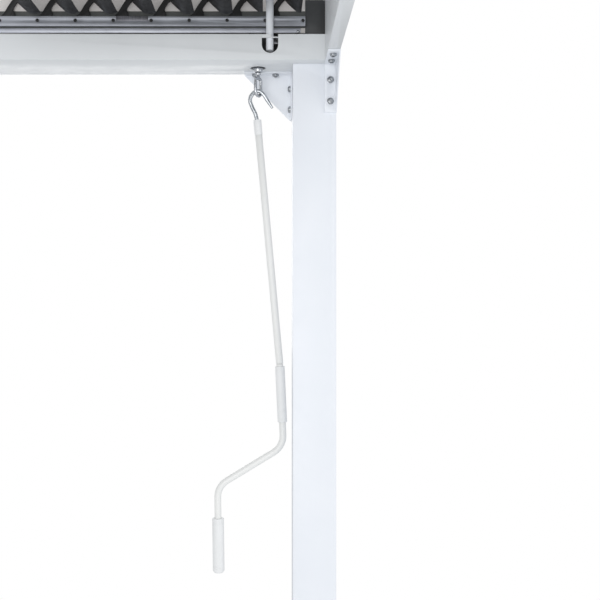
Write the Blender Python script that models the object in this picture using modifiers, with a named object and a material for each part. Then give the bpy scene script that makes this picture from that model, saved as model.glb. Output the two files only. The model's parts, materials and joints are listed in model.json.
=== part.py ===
"""Corner of a louvred pergola roof with its hand crank, in metres, +Z up, origin under the post's centre."""

import math

import bmesh
import bpy
from mathutils import Matrix, Vector

MM = 0.001
GAP = 0.3  # mm kept between pieces that touch or are cut by each other

# Frame, all in millimetres
POST = 110.0
POST_WALL = 3.0
HALF = POST / 2
BEAM_Z = 2100.0  # underside of the beams
BEAM_TOP = 2290.0
BEAM_WALL = 3.0
LIP_Y = -88.0  # front face of the back beam
LIP_TOP = 2164.0
BEAM_LEFT = -900.0
SIDE_IN = 24.0  # inner face of the side beam
SIDE_FRONT = -640.0
PLATE = 180.0
PLATE_THICK = 8.0
SPIGOT_TOP = 90.0

# Brackets
LEG = 125.0
LEG_THICK = 3.5
BOLT_AT = (43.0, 97.0)  # distances of the bolts from the inside corner
BOLT_R = 4.0

# Louvres and their linkage
LOUVRES = 8
PITCH = 96.0
PIVOT_X = -79.0  # pivot of the louvre next to the side beam
PIVOT_Z = 2268.0
# upper and lower skins of a hollow blade about its pivot, from the rain side to the drip side
BLADE_UPPER = ((-55, 1), (-40, 4.5), (-20, 7.3), (0, 8), (20, 7.8), (40, 6.5), (60, 5), (82, 3.5))
BLADE_LOWER = ((82, 1), (76, -7), (68, -14), (58, -17.5), (49, -17.5), (30, -16.5), (17, -14.5), (0, -9), (-20, -5),
               (-40, -2), (-55, -0.8))
SHORT_UPPER = ((-55, 1), (-40, 4.5), (-20, 7.3), (0, 8), (20, 7), (40, 3.4), (58, -4.5), (66, -10))
SHORT_LOWER = ((66, -12), (60, -16), (50, -17), (30, -16.5), (17, -14.5), (0, -9), (-20, -5), (-40, -2), (-55, -0.8))
SHORT_BLADES = ("1", "2")  # these two stop short of the side beam and of the push rod
BLADE_SKIN = 1.5
LEVER_SHAPE = ((-7.5, 2), (-9, -2), (-17, -10), (-27.5, -25.5), (-37, -41.6), (-50, -54), (-55.5, -60), (-56, -64),
               (-53, -69), (-47, -71), (-38, -70.5), (-20, -64), (-11, -56), (-9.5, -48), (-10.5, -41.8),
               (-13.5, -33), (-12, -27.5), (-4.5, -17), (3, -9.5), (8, -4), (9, 2), (7, 7), (0, 9.5), (-6, 7))
BLADE_TILT = 40.0  # degrees, right edge down
BLADE_BACK = -90.0
BLADE_FRONT = -620.0
PIN_DX = -47.0  # link pin from its louvre's pivot
PIN_DZ = -62.0
SHAFT_R = 5.0
PIN_R = 3.2
BAR_Y = (-63.0, -60.0)
LEVER_Y = (-58.0, -55.0)
RAIL_Y = (-50.0, -47.0)
BAR_LOW = -14.0  # bar edges from the pins
BAR_HIGH = 11.0
BAR_END = -24.0

# Drive
EYE_X = -144.0
EYE_Y = -5.0
WHEEL_X = PIVOT_X  # so that the two arms and the push rod make a parallelogram
WHEEL_Z = 2156.0
WHEEL_R = 50.0
WHEEL_TEETH = 20
SCREW_R = 14.5
SCREW_STARTS = 6
ARM = 35.0
ROD_X = WHEEL_X - ARM
ROD_Y = -75.0
ROD_R = 9.6
SLOT = (-134.0, -93.0)
SLOT_LOW = 2117.0

# Crank, as points (x, z) in the plane y = EYE_Y
KNUCKLE_Z = 2086.0
BALL_R = 7.0
LOOP_WIRE = 4.3
LOOP_HALF = 12.6
LOOP_TOP = 2073.5
LOOP_LOW = 2028.7
LOOP_CORNER = 6.0
LOOP_TURN = 33.0  # degrees that the loop is turned from square to the hook
HOOK_R = 5.3
HOOK = ((-145.4, 1956), (-151, 1981), (-161, 2003), (-165, 2019), (-158, 2034), (-145, 2041.3),
        (-132, 2034), (-121, 2018), (-107, 1997))
TUBE_TOP = (-146.2, 1966.0)
TUBE_LOW = (-88.0, 1334.0)
TUBE_R = 9.4
PLUG_R = 10.4
BEND_HIGH = (-78.2, 1119.4)  # corners of the crank's offset, before they are rounded
BEND_LOW = (-249.2, 1015.3)
BEND_R = 50.0
GRIP_TOP = (-248.1, 933.0)
GRIP_LOW = (-246.3, 796.0)
BENT_R = 8.8
SLEEVE_LENGTH = 145.0
SLEEVE_R = 12.3
GRIP_R = 15.2
RUN = 0.6  # clearance between a turning sleeve and its rod

for old in list(bpy.data.objects):
    bpy.data.objects.remove(old, do_unlink=True)

parts = bpy.data.collections.new("pergola_corner")
cutters = bpy.data.collections.new("cutters")
bpy.context.scene.collection.children.link(parts)
bpy.context.scene.collection.children.link(cutters)


def material(name, colour, roughness, metallic):
    made = bpy.data.materials.new(name)
    made.use_nodes = True
    shader = made.node_tree.nodes["Principled BSDF"]
    shader.inputs["Base Color"].default_value = (*colour, 1.0)
    shader.inputs["Roughness"].default_value = roughness
    shader.inputs["Metallic"].default_value = metallic
    return made


WHITE = material("white_paint", (0.82, 0.84, 0.86), 0.4, 0.0)
STEEL = material("bolt_steel", (0.35, 0.35, 0.36), 0.35, 1.0)
CHROME = material("chrome", (0.65, 0.65, 0.66), 0.12, 1.0)
RAW = material("raw_aluminium", (0.35, 0.35, 0.37), 0.4, 1.0)
DARK = material("anthracite_paint", (0.03, 0.03, 0.032), 0.45, 0.0)
CRANK = material("crank_coating", (0.8, 0.8, 0.79), 0.45, 0.0)
SEAL = material("rubber_seal", (0.06, 0.06, 0.065), 0.7, 0.0)
GRIP = material("grip_plastic", (0.84, 0.84, 0.83), 0.5, 0.0)
GEAR = material("gear_steel", (0.3, 0.3, 0.3), 0.4, 1.0)


def tip_of(end, start):
    """Unit direction from start to end in the crank's plane."""
    way = Vector((end[0] - start[0], end[1] - start[1]))
    return way.normalized()


def to_mesh(curve, name, look):
    """Turns a curve object into a welded mesh object in the parts collection."""
    bpy.context.view_layer.update()
    graph = bpy.context.evaluated_depsgraph_get()
    mesh = bpy.data.meshes.new_from_object(curve.evaluated_get(graph))
    mesh.name = name
    body = bmesh.new()
    body.from_mesh(mesh)
    bmesh.ops.remove_doubles(body, verts=body.verts, dist=0.00001)
    bmesh.ops.recalc_face_normals(body, faces=body.faces)
    body.to_mesh(mesh)
    body.free()
    mesh.materials.clear()
    mesh.materials.append(look)
    made = bpy.data.objects.new(name, mesh)
    made.matrix_world = curve.matrix_world.copy()
    parts.objects.link(made)
    bpy.data.objects.remove(curve, do_unlink=True)
    mesh.shade_smooth()
    mesh.set_sharp_from_angle(angle=math.radians(35))
    return made


def extruded(name, outlines, low, high, along, look):
    """A flat outline, with holes, drawn out from low to high along X, Y or Z.

    Outlines are (x, z) for Y, (y, z) for X and (x, y) for Z.
    """
    data = bpy.data.curves.new(name + "_outline", "CURVE")
    data.dimensions = "2D"
    data.fill_mode = "BOTH"
    data.extrude = (high - low) / 2 * MM
    for outline in outlines:
        spline = data.splines.new("POLY")
        spline.points.add(len(outline) - 1)
        spline.use_cyclic_u = True
        for point, (a, b) in zip(spline.points, outline):
            point.co = (a * MM, b * MM, 0, 1)
    curve = bpy.data.objects.new(name + "_outline", data)
    parts.objects.link(curve)
    middle = (high + low) / 2 * MM
    if along == "X":
        turn = Matrix(((0, 0, 1, 0), (1, 0, 0, 0), (0, 1, 0, 0), (0, 0, 0, 1)))
        curve.matrix_world = Matrix.Translation((middle, 0, 0)) @ turn
    elif along == "Y":
        turn = Matrix(((1, 0, 0, 0), (0, 0, -1, 0), (0, 1, 0, 0), (0, 0, 0, 1)))
        curve.matrix_world = Matrix.Translation((0, middle, 0)) @ turn
    else:
        curve.matrix_world = Matrix.Translation((0, 0, middle))
    return to_mesh(curve, name, look)


def rounded(corners, radius, steps=8):
    """A path through corners (x, z) with each inner corner replaced by an arc."""
    path = [Vector(corners[0])]
    for before, corner, after in zip(corners, corners[1:], corners[2:]):
        corner = Vector(corner)
        back = (Vector(before) - corner).normalized()
        ahead = (Vector(after) - corner).normalized()
        half = back.angle(ahead) / 2
        middle = corner + (back + ahead).normalized() * radius / math.sin(half)
        start = corner + back * radius / math.tan(half) - middle
        turn = math.pi - 2 * half
        if back.x * ahead.y - back.y * ahead.x > 0:
            turn = -turn
        for k in range(steps + 1):
            a = turn * k / steps
            path.append(middle + Vector((start.x * math.cos(a) - start.y * math.sin(a),
                                         start.x * math.sin(a) + start.y * math.cos(a))))
    path.append(Vector(corners[-1]))
    return path


def circle(x, y, radius, count=16):
    """Points of a circle, begun at a different angle in each place so that no row of holes lines up."""
    steps = [2 * math.pi * k / count + x * 0.01 for k in range(count)]
    return [(x + radius * math.cos(a), y + radius * math.sin(a)) for a in steps]


def rectangle(left, right, low, high):
    return [(left, low), (right, low), (right, high), (left, high)]


def rod(name, start, end, radius, look, inner=0.0, count=20):
    """A round bar between two points in millimetres, or a tube where inner is given."""
    start = Vector(start)
    way = Vector(end) - start
    rings = [circle(0, 0, radius, count)]
    if inner:
        rings.append(circle(0, 0, inner, count))
    made = extruded(name, rings, 0, way.length, "Z", look)
    turn = Vector((0, 0, 1)).rotation_difference(way).to_matrix().to_4x4()
    made.data.transform(Matrix.Translation(made.location))
    made.matrix_world = Matrix.Translation(start * MM) @ turn
    return made


def turned(name, profile, place, look, steps=24, turn=None):
    """A profile of (radius, height) points, top to bottom on its outer side, turned about Z at place."""
    mesh = bpy.data.meshes.new(name)
    points = [(r * MM, 0, z * MM) for r, z in profile]
    closed = profile[0][0] > 0 or profile[-1][0] > 0
    edges = [(k, k + 1) for k in range(len(points) - 1)]
    if closed:
        edges.append((len(points) - 1, 0))
    mesh.from_pydata(points, edges, [])
    mesh.materials.append(look)
    made = bpy.data.objects.new(name, mesh)
    parts.objects.link(made)
    made.matrix_world = Matrix.Translation(Vector(place) * MM) @ (turn or Matrix.Identity(4))
    screw = made.modifiers.new("turn", "SCREW")
    screw.steps = steps
    screw.render_steps = steps
    screw.use_merge_vertices = True
    screw.merge_threshold = 0.00001
    screw.use_smooth_shade = True
    return made


def bent_wire(name, path, radius, look, smooth, taper=None, closed=False):
    """A round wire through points in millimetres, eased by a Bezier spline where smooth is set."""
    data = bpy.data.curves.new(name + "_path", "CURVE")
    data.dimensions = "3D"
    data.bevel_depth = radius * MM
    data.bevel_resolution = 2
    data.use_fill_caps = not closed
    data.resolution_u = 4
    spline = data.splines.new("BEZIER" if smooth else "POLY")
    if smooth:
        spline.bezier_points.add(len(path) - 1)
        for k, (point, place) in enumerate(zip(spline.bezier_points, path)):
            point.co = Vector(place) * MM
            point.handle_left_type = "AUTO"
            point.handle_right_type = "AUTO"
            if taper and k == len(path) - 1:
                point.radius = taper
    else:
        spline.points.add(len(path) - 1)
        for point, place in zip(spline.points, path):
            point.co = (*(Vector(place) * MM), 1)
    spline.use_cyclic_u = closed
    curve = bpy.data.objects.new(name + "_path", data)
    parts.objects.link(curve)
    return to_mesh(curve, name, look)


def join(body, other, how):
    """Cuts other from body or unites it, and keeps other only as a hidden helper."""
    for owner in list(other.users_collection):
        owner.objects.unlink(other)
    cutters.objects.link(other)
    other.hide_render = True
    other.display_type = "WIRE"
    step = body.modifiers.new(how.lower(), "BOOLEAN")
    step.operation = how
    step.solver = "EXACT"
    step.object = other


def cut(body, *others):
    for other in others:
        join(body, other, "DIFFERENCE")


def unite(body, *others):
    for other in others:
        join(body, other, "UNION")


def frame():
    tube = [rectangle(-HALF, HALF, -HALF, HALF)]
    inner = HALF - POST_WALL
    tube.append(rectangle(-inner, inner, -inner, inner))
    post = extruded("post", tube, PLATE_THICK + GAP, BEAM_Z - GAP, "Z", WHITE)

    spread = PLATE / 2 - 20
    holes = [circle(x, y, 7) for x in (-spread, spread) for y in (-spread, spread)]
    side = PLATE / 2
    plate = extruded("base_plate", [rectangle(-side, side, -side, side), *holes], 0, PLATE_THICK, "Z", WHITE)
    spigot = inner - GAP
    core = spigot - 4
    ring = [rectangle(-spigot, spigot, -spigot, spigot), rectangle(-core, core, -core, core)]
    unite(plate, extruded("base_spigot", ring, PLATE_THICK - 1, SPIGOT_TOP, "Z", WHITE))

    wall = BEAM_WALL
    channel = [
        (LIP_Y, BEAM_Z), (HALF, BEAM_Z), (HALF, BEAM_TOP), (HALF - 14, BEAM_TOP), (HALF - 14, BEAM_TOP - wall),
        (HALF - wall, BEAM_TOP - wall), (HALF - wall, BEAM_Z + wall), (LIP_Y + wall, BEAM_Z + wall),
        (LIP_Y + wall, LIP_TOP - wall), (LIP_Y + 10, LIP_TOP - wall), (LIP_Y + 10, LIP_TOP), (LIP_Y, LIP_TOP),
    ]
    beam = extruded("back_beam", [channel], BEAM_LEFT, HALF, "X", WHITE)
    radius = (SLOT[1] - SLOT[0]) / 2
    middle = (SLOT[1] + SLOT[0]) / 2
    arc = [math.pi + math.pi * k / 10 for k in range(11)]
    slot = [(middle + radius * math.cos(a), SLOT_LOW + radius + radius * math.sin(a)) for a in arc]
    slot += [(SLOT[1], LIP_TOP + 5), (SLOT[0], LIP_TOP + 5)]
    cut(beam, extruded("slot_cutter", [slot], LIP_Y - 5, LIP_Y + 15, "Y", WHITE))
    cut(beam, rod("eye_cutter", (EYE_X, EYE_Y, 2095), (EYE_X, EYE_Y, 2108), 20, WHITE, count=28))

    box = [rectangle(SIDE_IN, HALF, BEAM_Z, BEAM_TOP)]
    box.append(rectangle(SIDE_IN + wall, HALF - wall, BEAM_Z + wall, BEAM_TOP - wall))
    side_beam = extruded("side_beam", box, SIDE_FRONT, LIP_Y - GAP, "Y", WHITE)
    end = [rectangle(LIP_Y, HALF, BEAM_Z, BEAM_TOP)]
    extruded("beam_end_cap", end, HALF + GAP, HALF + GAP + wall, "X", WHITE)
    return post, beam, side_beam


def bracket(name, corner, out, web_low, web_high, along):
    """An angle bracket: one leg under a beam, one down the post, and a web between them.

    corner is the inside corner (across, z), out is the way the top leg runs (+1 or -1) across the post,
    and along is the axis that the legs' width runs on.
    """
    across, top = corner
    thick = LEG_THICK
    angle = [
        (across, top), (across + out * LEG, top), (across + out * LEG, top - thick),
        (across + out * thick, top - thick), (across + out * thick, top - LEG), (across, top - LEG),
    ]
    made = extruded(name, [angle], *along[1:], along[0], WHITE)
    inside = thick - 0.5
    web = [
        (across + out * inside, top - inside), (across + out * (LEG - 2), top - inside),
        (across + out * (LEG - 2), top - thick - 2), (across + out * (thick + 2), top - LEG + 2),
        (across + out * inside, top - LEG + 2),
    ]
    unite(made, extruded(name + "_web", [web], web_low, web_high, along[0], WHITE))
    return made


def bolt(name, place, out):
    """A cap bolt whose head faces out, with its shank through the bracket and into the wall behind."""
    head = [(0, 7.5), (4.2, 7.3), (7.0, 6.2), (8.5, 4.2), (8.6, 0), (BOLT_R, 0), (BOLT_R, -12), (0, -12)]
    turn = Vector((0, 0, 1)).rotation_difference(Vector(out)).to_matrix().to_4x4()
    turned(name, head, place, STEEL, steps=20, turn=turn)


def bolt_hole(body, place, out):
    start = Vector(place) - Vector(out) * 14
    end = Vector(place) + Vector(out) * 4
    label = "hole_" + str(len(cutters.objects))
    cut(body, rod(label, start, end, BOLT_R + GAP, STEEL, count=16))


def brackets(post, beam, side_beam):
    under = BEAM_Z - GAP
    face = HALF + GAP
    right = bracket("bracket_right", (-face, under), -1, 52.8, 55.8, ("X", 25, 56))
    left = bracket("bracket_left", (-face, under), -1, 51.3, 54.3, ("Y", 22, 54.5))
    off = LEG_THICK + GAP
    for k, far in enumerate(BOLT_AT, start=1):
        spots = (
            ("bolt_right_post_" + str(k), (39.5, -face - off, under - far), (0, -1, 0), right, post),
            ("bolt_right_beam_" + str(k), (39.5, -face - far, under - off), (0, 0, -1), right,
             beam if face + far < -LIP_Y else side_beam),
            ("bolt_left_post_" + str(k), (-face - off, 37, under - far), (-1, 0, 0), left, post),
            ("bolt_left_beam_" + str(k), (-face - far, 37, under - off), (0, 0, -1), left, beam),
        )
        for name, place, out, plate, behind in spots:
            bolt(name, place, out)
            bolt_hole(plate, place, out)
            bolt_hole(behind, place, out)


def pivot(k):
    return PIVOT_X - k * PITCH


def turned_point(x, z, degrees):
    """A point turned by an angle about +Y, so that the right side goes down."""
    a = math.radians(degrees)
    return x * math.cos(a) + z * math.sin(a), -x * math.sin(a) + z * math.cos(a)


def skin(points, depth):
    """The same run of points set in from the surface, its two thin ends left out."""
    return [(x, z + depth) for x, z in points[1:-1]]


def louvre_blade(number, x):
    short = number in SHORT_BLADES
    upper = SHORT_UPPER if short else BLADE_UPPER
    lower = SHORT_LOWER if short else BLADE_LOWER

    def placed(points):
        return [(x + a, PIVOT_Z + b) for a, b in (turned_point(*point, BLADE_TILT) for point in points)]

    hollow = skin(upper, -BLADE_SKIN) + skin(lower, BLADE_SKIN)
    core = skin(upper, -BLADE_SKIN / 2) + skin(lower, BLADE_SKIN / 2)
    blade = extruded("louvre_blade_" + number, [placed(upper + lower), placed(hollow)], BLADE_FRONT, BLADE_BACK, "Y",
                     DARK)
    unite(blade, extruded("plug_" + number, [placed(core)], BLADE_BACK - 3, BLADE_BACK - 0.2, "Y", DARK))


def louvres():
    for k in range(LOUVRES):
        x = pivot(k)
        number = str(k + 1)
        louvre_blade(number, x)
        plate = [(x + a, PIVOT_Z + b) for a, b in LEVER_SHAPE]
        lever = extruded("louvre_lever_" + number, [plate], *LEVER_Y, "Y", DARK)
        stub = rod("stub_" + number, (x, BLADE_BACK + GAP, PIVOT_Z), (x, -44, PIVOT_Z), SHAFT_R, DARK)
        pin_x, pin_z = x + PIN_DX, PIVOT_Z + PIN_DZ
        pin = rod("pin_" + number, (pin_x, -64, pin_z), (pin_x, -56, pin_z), PIN_R, DARK, count=14)
        head = rod("head_" + number, (pin_x, -64.9, pin_z), (pin_x, BAR_Y[0] - GAP, pin_z), 4.2, DARK, count=14)
        unite(pin, head)
        unite(lever, stub, pin)


def linkage():
    first = pivot(0) + PIN_DX
    pin_z = PIVOT_Z + PIN_DZ
    holes = [circle(first - k * PITCH, pin_z, PIN_R + 0.4) for k in range(-1, LOUVRES)]
    shape = rectangle(BEAM_LEFT + 60, BAR_END, pin_z + BAR_LOW, pin_z + BAR_HIGH)
    extruded("link_bar", [shape, *holes], *BAR_Y, "Y", RAW)
    tag = rectangle(-503, -422, pin_z + BAR_HIGH - 13, pin_z + BAR_HIGH - 0.5)
    extruded("bar_plate", [tag], BAR_Y[0] - GAP - 1.2, BAR_Y[0] - GAP, "Y", RAW)

    wall = BEAM_WALL
    back = HALF - wall - GAP
    top = BEAM_TOP - wall - GAP
    end = SIDE_IN - 4
    bearings = [circle(pivot(k), PIVOT_Z, SHAFT_R + 0.4) for k in range(LOUVRES)]
    rail = extruded("pivot_rail", [rectangle(BEAM_LEFT, end, 2178, top), *bearings], *RAIL_Y, "Y", WHITE)
    flange = rectangle(BEAM_LEFT + 0.1, end - 0.1, top - wall, top - 0.1)
    unite(rail, extruded("rail_flange", [flange], RAIL_Y[0] + 1, back, "Y", WHITE))
    front = RAIL_Y[0] - GAP
    strip = [rectangle(BEAM_LEFT, -36, 2178, 2190)]
    extruded("rail_strip", strip, front - 3, front, "Y", RAW)
    seal = rectangle(BEAM_LEFT, BAR_END - GAP, 2190 + GAP, 2232.7)
    extruded("rail_seal", [seal], front - 2, front, "Y", SEAL)
    extruded("closing_plate", [rectangle(BAR_END, HALF - 1, 2172, 2262)], front - 1.5, front, "Y", DARK)
    end_x = first + PITCH
    stud = rod("bar_end_stud", (end_x, -64, pin_z), (end_x, -57.5, pin_z), PIN_R, DARK, count=14)
    unite(stud, rod("stud_head", (end_x, -64.9, pin_z), (end_x, BAR_Y[0] - GAP, pin_z), 4.2, DARK, count=14))
    turn = Matrix.Rotation(math.pi / 2, 4, "X")
    turned("strip_screw", [(0, 2.4), (3.2, 1.6), (4.2, 0), (0, 0)], (-42, front - 3 - GAP, 2181), STEEL,
           steps=16, turn=turn)


def gear(name, teeth, root, tip, place, length, twist, look):
    """A toothed cylinder along local Z, drawn out in steps that each turn a little."""
    body = bmesh.new()
    marks = ((0.0, root), (0.3, tip), (0.6, tip), (0.9, root))
    ring = []
    for k in range(teeth):
        for share, radius in marks:
            angle = 2 * math.pi * (k + share) / teeth
            ring.append(body.verts.new((radius * math.cos(angle) * MM, radius * math.sin(angle) * MM, 0)))
    edges = [body.edges.new((ring[k - 1], ring[k])) for k in range(len(ring))]
    steps = 6
    for _ in range(steps):
        grown = bmesh.ops.extrude_edge_only(body, edges=edges)["geom"]
        verts = [g for g in grown if isinstance(g, bmesh.types.BMVert)]
        edges = [g for g in grown if isinstance(g, bmesh.types.BMEdge)]
        bmesh.ops.translate(body, verts=verts, vec=(0, 0, length / steps * MM))
        bmesh.ops.rotate(body, verts=verts, cent=(0, 0, 0), matrix=Matrix.Rotation(twist / steps, 3, "Z"))
    bmesh.ops.holes_fill(body, edges=body.edges, sides=0)
    bmesh.ops.recalc_face_normals(body, faces=body.faces)
    mesh = bpy.data.meshes.new(name)
    body.to_mesh(mesh)
    body.free()
    mesh.materials.append(look)
    made = bpy.data.objects.new(name, mesh)
    parts.objects.link(made)
    made.matrix_world = place
    return made


def drive():
    away = Matrix.Rotation(-math.pi / 2, 4, "X")
    wheel_at = Matrix.Translation(Vector((WHEEL_X, EYE_Y - 6, WHEEL_Z)) * MM) @ away
    wheel = gear("gear_wheel", WHEEL_TEETH, WHEEL_R - 4, WHEEL_R, wheel_at, 12, 0.12, GEAR)
    cut(wheel, rod("wheel_bore", (WHEEL_X, -14, WHEEL_Z), (WHEEL_X, 4, WHEEL_Z), 6 + GAP, GEAR))

    arm = extruded("output_arm", [[(WHEEL_X, WHEEL_Z + 10), (ROD_X, WHEEL_Z + 8), (ROD_X - 6, WHEEL_Z + 5),
                                   (ROD_X - 8, WHEEL_Z), (ROD_X - 6, WHEEL_Z - 5), (ROD_X, WHEEL_Z - 8),
                                   (WHEEL_X, WHEEL_Z - 10), (WHEEL_X + 8, WHEEL_Z - 6),
                                   (WHEEL_X + 10, WHEEL_Z), (WHEEL_X + 8, WHEEL_Z + 6)]],
                   -61.5, -58.5, "Y", GEAR)
    unite(arm, rod("output_shaft", (WHEEL_X, -60, WHEEL_Z), (WHEEL_X, 6, WHEEL_Z), 6, GEAR))
    unite(arm, rod("output_pin", (ROD_X, -84, WHEEL_Z), (ROD_X, -60, WHEEL_Z), 3.6, GEAR, count=16))

    shaft = rod("drive_shaft", (EYE_X, EYE_Y, 2094.4), (EYE_X, EYE_Y, 2196), 7, GEAR)
    screw_at = Matrix.Translation(Vector((EYE_X, EYE_Y, 2132)) * MM)
    unite(shaft, gear("screw_gear", SCREW_STARTS, SCREW_R - 4, SCREW_R, screw_at, 48, 2.6, GEAR))

    floor = BEAM_Z + BEAM_WALL + GAP
    for name, low, high in (("housing_front", -26.0, EYE_Y - GAP / 2), ("housing_rear", EYE_Y + GAP / 2, 16.0)):
        shell = extruded(name, [rectangle(-168, -22, floor, 2214)], low, high, "Y", GEAR)
        inside = (low + 3, high + 5) if high < 0 else (low - 5, high - 3)
        hollow = [rectangle(-165, -25, floor + 2, 2211)]
        cut(shell, extruded(name + "_hollow", hollow, *inside, "Y", GEAR))
        cut(shell, rod(name + "_neck", (EYE_X, EYE_Y, 2100), (EYE_X, EYE_Y, 2108), 13, GEAR))
        if high < 0:
            cut(shell, rod("shaft_bore", (WHEEL_X, -30, WHEEL_Z), (WHEEL_X, -16, WHEEL_Z), 6.5, GEAR))

    collar = [(12, 2112), (12, 2097), (11.4, 2092.5), (9.6, 2089.4), (7.6, 2089), (7.6, 2112)]
    turned("eye_collar", collar, (EYE_X, EYE_Y, 0), CHROME, steps=28)

    upper = PIVOT_Z
    rod_body = rod("push_rod", (ROD_X, ROD_Y, 2126), (ROD_X, ROD_Y, upper + 12), ROD_R, WHITE, inner=7.4)
    for z in (WHEEL_Z, upper):
        cut(rod_body, rod("cross_hole_" + str(int(z)), (ROD_X, -90, z), (ROD_X, -55, z), 4.0, WHITE, count=16))
    top_arm = extruded("drive_arm", [[(WHEEL_X, upper + 11), (ROD_X, upper + 8), (ROD_X - 6, upper + 5),
                                      (ROD_X - 8, upper), (ROD_X - 6, upper - 5), (ROD_X, upper - 8),
                                      (WHEEL_X, upper - 11), (WHEEL_X + 8, upper - 8),
                                      (WHEEL_X + 11, upper), (WHEEL_X + 8, upper + 8)],
                                     circle(WHEEL_X, upper, SHAFT_R + GAP)], -88, -85, "Y", RAW)
    unite(top_arm, rod("drive_pin", (ROD_X, -86, upper), (ROD_X, -64, upper), 3.6, RAW, count=16))


def crank():
    def flat(points):
        return [(p[0], EYE_Y, p[1]) for p in points]

    ball = [(BALL_R * math.sin(math.pi * k / 10), BALL_R * math.cos(math.pi * k / 10)) for k in range(11)]
    ball[0] = (0, BALL_R)
    ball[-1] = (0, -BALL_R)
    turned("eye_ball", ball, (EYE_X, EYE_Y, KNUCKLE_Z), CHROME, steps=20)

    half, top, low = LOOP_HALF, LOOP_TOP, LOOP_LOW
    loop = []
    for side in (1, -1):
        for k in range(4):
            a = math.pi / 2 * (k / 3 if side > 0 else 1 - k / 3)
            loop.append((side * (half - LOOP_CORNER + LOOP_CORNER * math.cos(a)),
                         top - LOOP_CORNER + LOOP_CORNER * math.sin(a)))
    for k in range(8):
        a = math.pi + math.pi * k / 7
        loop.append((half * math.cos(a), low + half + half * math.sin(a)))
    turn = math.radians(90 - LOOP_TURN)
    path = [(EYE_X + s * math.cos(turn), EYE_Y + s * math.sin(turn), z) for s, z in loop]
    eye = bent_wire("eye", path, LOOP_WIRE, CHROME, smooth=False, closed=True)
    unite(eye, rod("eye_stem", (EYE_X, EYE_Y, top), (EYE_X, EYE_Y, KNUCKLE_Z - BALL_R - GAP), 6, CHROME))

    bent_wire("hook", flat(HOOK), HOOK_R, CHROME, smooth=True, taper=0.7)

    down = tip_of(TUBE_LOW, TUBE_TOP)
    plug_low = (TUBE_TOP[0] + down.x * 40, TUBE_TOP[1] + down.y * 40)
    plug_top = (TUBE_TOP[0], TUBE_TOP[1])
    plug = rod("tube_plug", *flat([plug_top, plug_low]), PLUG_R, GRIP)
    start = (plug_low[0] + down.x * GAP, plug_low[1] + down.y * GAP)
    seat = (TUBE_TOP[0] + down.x * 15, TUBE_TOP[1] + down.y * 15)
    cut(plug, rod("plug_seat", *flat([(TUBE_TOP[0] - down.x * 20, TUBE_TOP[1] - down.y * 20), seat]),
                  HOOK_R + 3.2, GRIP))
    tube_start = (start[0], start[1])
    rod("crank_tube", *flat([tube_start, TUBE_LOW]), TUBE_R, CRANK, inner=TUBE_R - 1.5)

    first = (TUBE_LOW[0] + down.x, TUBE_LOW[1] + down.y)
    end = tip_of(GRIP_LOW, BEND_LOW)
    last = (GRIP_LOW[0] - end.x * GAP, GRIP_LOW[1] - end.y * GAP)
    bent_wire("bent_rod", flat(rounded([first, BEND_HIGH, BEND_LOW, last], BEND_R)), BENT_R, CRANK, smooth=False)

    way = tip_of(BEND_HIGH, first)
    top = (first[0] + way.x * 6, first[1] + way.y * 6)
    low = (top[0] + way.x * SLEEVE_LENGTH, top[1] + way.y * SLEEVE_LENGTH)
    rod("upper_sleeve", *flat([top, low]), SLEEVE_R, GRIP, inner=BENT_R + RUN, count=24)
    rod("lower_grip", *flat([GRIP_TOP, GRIP_LOW]), GRIP_R, GRIP, inner=BENT_R + RUN, count=24)
    cap = (GRIP_LOW[0] + end.x * GAP, GRIP_LOW[1] + end.y * GAP)
    cap_low = (GRIP_LOW[0] + end.x * 4, GRIP_LOW[1] + end.y * 4)
    rod("grip_cap", *flat([cap, cap_low]), 12.0, GRIP)


post_piece, back_piece, side_piece = frame()
brackets(post_piece, back_piece, side_piece)
louvres()
linkage()
drive()
crank()
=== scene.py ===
import json
import math

import bmesh
import bpy
from mathutils import Matrix, Vector


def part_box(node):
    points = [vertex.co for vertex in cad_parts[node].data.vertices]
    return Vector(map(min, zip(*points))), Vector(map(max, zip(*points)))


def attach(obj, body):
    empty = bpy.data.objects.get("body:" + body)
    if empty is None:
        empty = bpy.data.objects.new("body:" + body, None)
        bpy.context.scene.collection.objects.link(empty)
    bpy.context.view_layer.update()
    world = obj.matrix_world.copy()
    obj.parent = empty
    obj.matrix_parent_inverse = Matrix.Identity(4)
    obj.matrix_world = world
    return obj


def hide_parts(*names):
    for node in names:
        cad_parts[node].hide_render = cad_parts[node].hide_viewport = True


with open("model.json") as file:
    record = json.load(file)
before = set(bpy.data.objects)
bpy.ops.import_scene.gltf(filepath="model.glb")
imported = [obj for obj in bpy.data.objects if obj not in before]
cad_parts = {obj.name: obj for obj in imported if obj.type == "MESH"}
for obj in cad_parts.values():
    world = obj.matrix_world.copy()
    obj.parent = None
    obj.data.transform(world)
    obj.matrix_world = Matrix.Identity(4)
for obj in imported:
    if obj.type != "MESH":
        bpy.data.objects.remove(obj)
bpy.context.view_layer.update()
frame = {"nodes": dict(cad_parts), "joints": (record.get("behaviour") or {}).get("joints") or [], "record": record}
nodes = frame["nodes"]
joints = {j["name"]: j for j in frame["joints"]}
bodies = frame["record"]["behaviour"]["bodies"]
print("frame loaded:", len(nodes), "nodes")

mm = 0.001


def middleOf(node):
    low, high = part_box(node)
    return (Vector(low) + Vector(high)) / 2


def jointPlace(name):
    return Vector(joints[name]["pos_m"])


def jointAxis(name):
    return Vector(joints[name]["axis"])


viewSet = {
    "from": (-0.1236, -2.238, 1.499),  # standing in front of the post, at eye height, looking level
    "lens": 51.6,
    "sensor": 36,
    "shift": 0.0567,
}

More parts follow.
